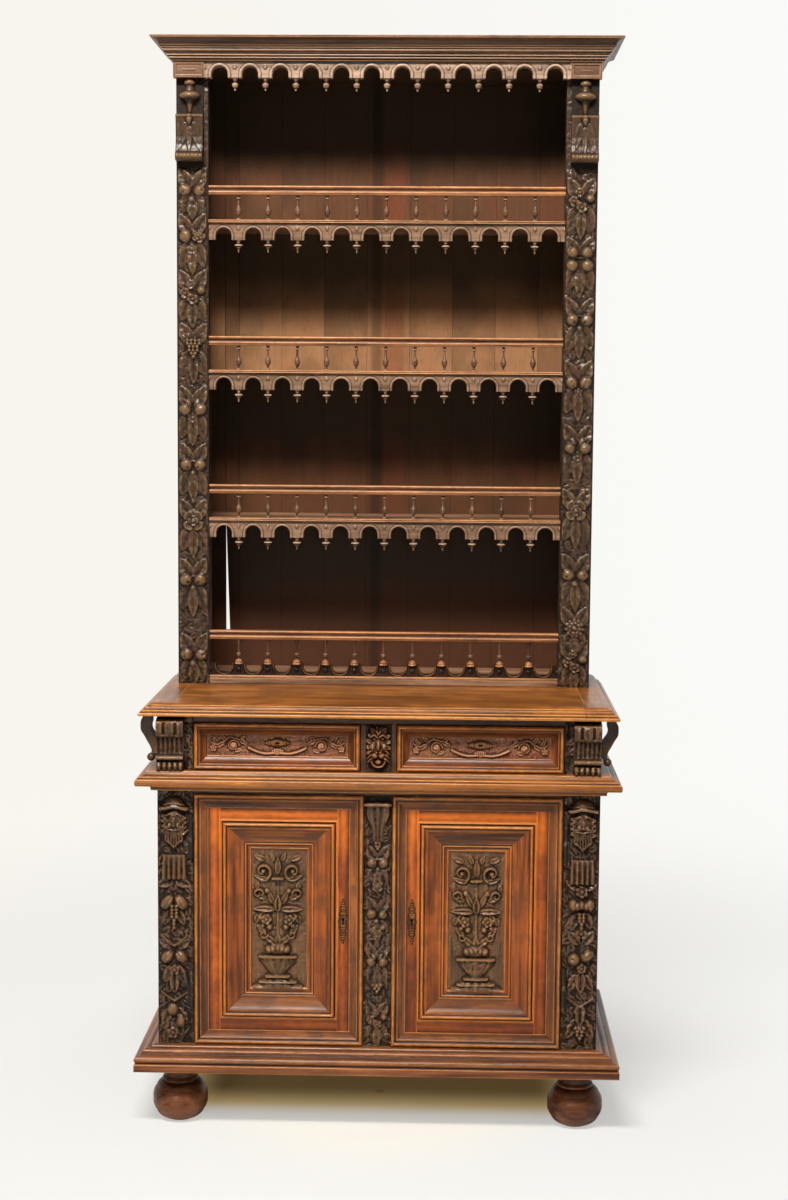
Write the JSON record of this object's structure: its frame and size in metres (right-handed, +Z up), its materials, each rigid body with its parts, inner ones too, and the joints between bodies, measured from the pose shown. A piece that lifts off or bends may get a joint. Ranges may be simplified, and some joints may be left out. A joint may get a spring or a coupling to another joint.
{
  "type": "carved dresser with open rack",
  "caption": "Tall carved wooden dresser: two-door, two-drawer cupboard on bun feet under an open rack of railed bays with arcaded aprons and a moulded cornice.",
  "frame": {"origin": "on the floor, under the middle of the dresser's overall box", "axes": "+Z up, +X to the right seen from the front, +Y to the back; the doors and drawers face -Y"},
  "size_m": [1.064, 0.55, 2.405],
  "materials": {
    "carved_wood": "waxed dark brown, worn paler on the high places",
    "moulding_wood": "waxed brown with golden edges",
    "top_wood": "polished golden brown",
    "door_wood": "polished orange brown",
    "case_wood": "waxed brown",
    "board_wood": "dull reddish brown",
    "inner_wood": "bare, dry and pale brown",
    "keyhole_brass": "dull aged brass",
    "hinge_steel": "darkened steel"
  },
  "bodies": {
    "carcase": {"apron_drops": "moulding_wood", "arcades": "moulding_wood", "balusters": "moulding_wood", "base_back": "inner_wood", "base_post_left": "carved_wood", "base_post_right": "carved_wood", "base_side_left": "case_wood", "base_side_right": "case_wood", "bottom_board": "inner_wood", "bun_foot_back_left": "moulding_wood", "bun_foot_back_right": "moulding_wood", "bun_foot_front_left": "moulding_wood", "bun_foot_front_right": "moulding_wood", "centre_stile": "carved_wood", "console_left": "carved_wood", "console_right": "carved_wood", "cornice": "moulding_wood", "cornice_apron": "moulding_wood", "cupboard_shelf": "inner_wood", "drawer_divider": "case_wood", "drawer_guides": "inner_wood", "dust_board": "inner_wood", "front_rails": "case_wood", "gallery_rails": "moulding_wood", "head_consoles": "carved_wood", "lion_mask": "carved_wood", "plinth_moulding": "moulding_wood", "post_hinges": "hinge_steel", "rack_back": "board_wood", "rack_shelves": "case_wood", "rack_side_left": "case_wood", "rack_side_right": "case_wood", "rack_stile_left": "carved_wood", "rack_stile_right": "carved_wood", "rack_top": "case_wood", "top_board": "top_wood", "top_board_ends": "top_wood", "waist_moulding": "moulding_wood"},
    "door_left": {"door_frame_left": "door_wood", "door_hinges_left": "hinge_steel", "door_keyhole_plate_left": "keyhole_brass", "door_lock_left": "hinge_steel", "door_moulding_left": "moulding_wood", "door_panel_left": "carved_wood"},
    "door_right": {"door_frame_right": "door_wood", "door_hinges_right": "hinge_steel", "door_keyhole_plate_right": "keyhole_brass", "door_lock_right": "hinge_steel", "door_moulding_right": "moulding_wood", "door_panel_right": "carved_wood"},
    "drawer_left": {"drawer_bottom_left": "inner_wood", "drawer_front_left": "door_wood", "drawer_keyhole_plate_left": "keyhole_brass", "drawer_lock_left": "hinge_steel", "drawer_walls_left": "inner_wood"},
    "drawer_right": {"drawer_bottom_right": "inner_wood", "drawer_front_right": "door_wood", "drawer_keyhole_plate_right": "keyhole_brass", "drawer_lock_right": "hinge_steel", "drawer_walls_right": "inner_wood"}
  },
  "joints": [
    {"name": "door_left_hinge", "type": "hinge", "parent": "carcase", "child": "door_left", "pos_m": [-0.409, -0.233, 0.46], "axis": [0, 0, -1], "range_deg": [0, 110]},
    {"name": "door_right_hinge", "type": "hinge", "parent": "carcase", "child": "door_right", "pos_m": [0.409, -0.233, 0.46], "axis": [0, 0, 1], "range_deg": [0, 110]},
    {"name": "drawer_left_slide", "type": "slide", "parent": "carcase", "child": "drawer_left", "axis": [0, -1, 0], "range_m": [0, 0.3]},
    {"name": "drawer_right_slide", "type": "slide", "parent": "carcase", "child": "drawer_right", "axis": [0, -1, 0], "range_m": [0, 0.3]}
  ]
}
